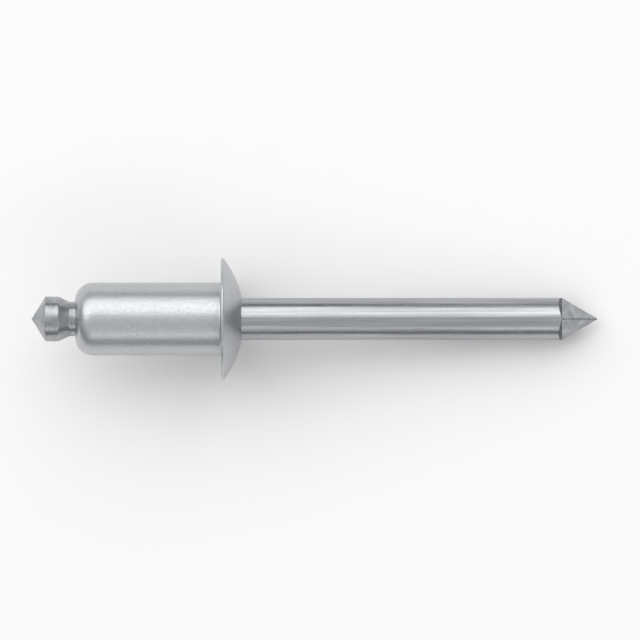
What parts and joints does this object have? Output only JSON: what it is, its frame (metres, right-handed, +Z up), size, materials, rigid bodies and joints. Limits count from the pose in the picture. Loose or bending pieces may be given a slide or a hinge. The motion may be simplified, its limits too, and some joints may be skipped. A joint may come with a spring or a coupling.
{
  "type": "blind rivet",
  "caption": "Dome-head aluminium blind rivet, not yet set, with its steel mandrel through it, lying on its flange and point.",
  "frame": {"origin": "on the table under the middle of the rivet's length", "axes": "+X along the table from the mandrel's head to its point, +Z up from the table; the rivet's own axis leans 6.7 degrees down towards +X, because it lies on the rim of its flange and on its point"},
  "size_m": [0.0386, 0.0084, 0.0083],
  "materials": {
    "aluminium_body": "cold-formed aluminium alloy, tumbled to an even satin",
    "steel_wire": "bright drawn steel wire with fine lines along it"
  },
  "bodies": {
    "root": {"rivet_body": "aluminium_body", "mandrel": "steel_wire"}
  },
  "joints": []
}
